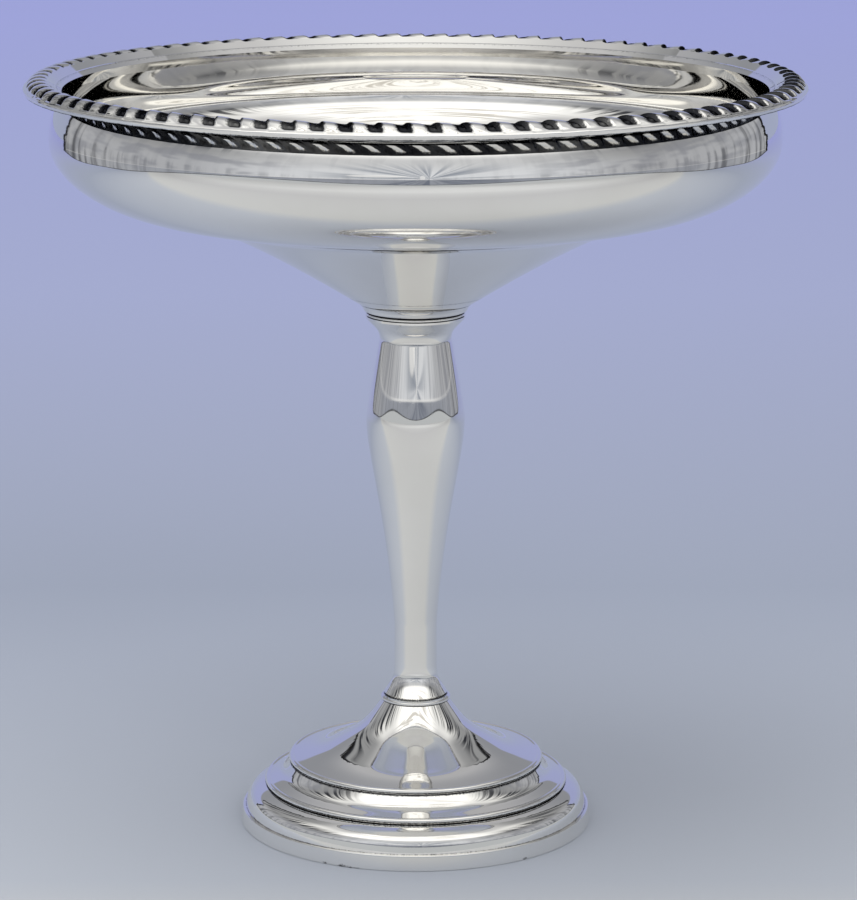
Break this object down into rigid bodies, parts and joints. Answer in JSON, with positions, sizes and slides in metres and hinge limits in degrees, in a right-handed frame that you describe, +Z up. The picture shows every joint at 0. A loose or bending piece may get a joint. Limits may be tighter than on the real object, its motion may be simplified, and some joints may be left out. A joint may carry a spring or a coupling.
{
  "type": "footed compote bowl",
  "caption": "Footed compote of polished silver for serving sweets, nuts or fruit: a wide spun bowl with a gadroon border on a baluster stem and a stepped round foot",
  "frame": {"origin": "centre of the foot's underside, on the table", "axes": "+Z points up along the axis of the stem and bowl, +Y points away from the camera of the picture, +X points to its right; the part is round about Z apart from the repeating lobes"},
  "size_m": [0.165, 0.165, 0.1636],
  "materials": {
    "polished_silver": "polished, with fine wear and a darker patina in the hollows",
    "cement_filler": "matt cast cement",
    "rod_steel": "plain drawn steel",
    "green_felt": "matt felt"
  },
  "bodies": {
    "root": {"foot_band": "polished_silver", "foot_shell": "polished_silver", "foot_filler": "cement_filler", "base_felt": "green_felt", "stem_ring": "polished_silver", "stem_shell": "polished_silver", "stem_filler": "cement_filler", "stem_rod": "rod_steel", "bowl_collar": "polished_silver", "bowl_shell": "polished_silver", "gadroon_border": "polished_silver"}
  },
  "joints": []
}
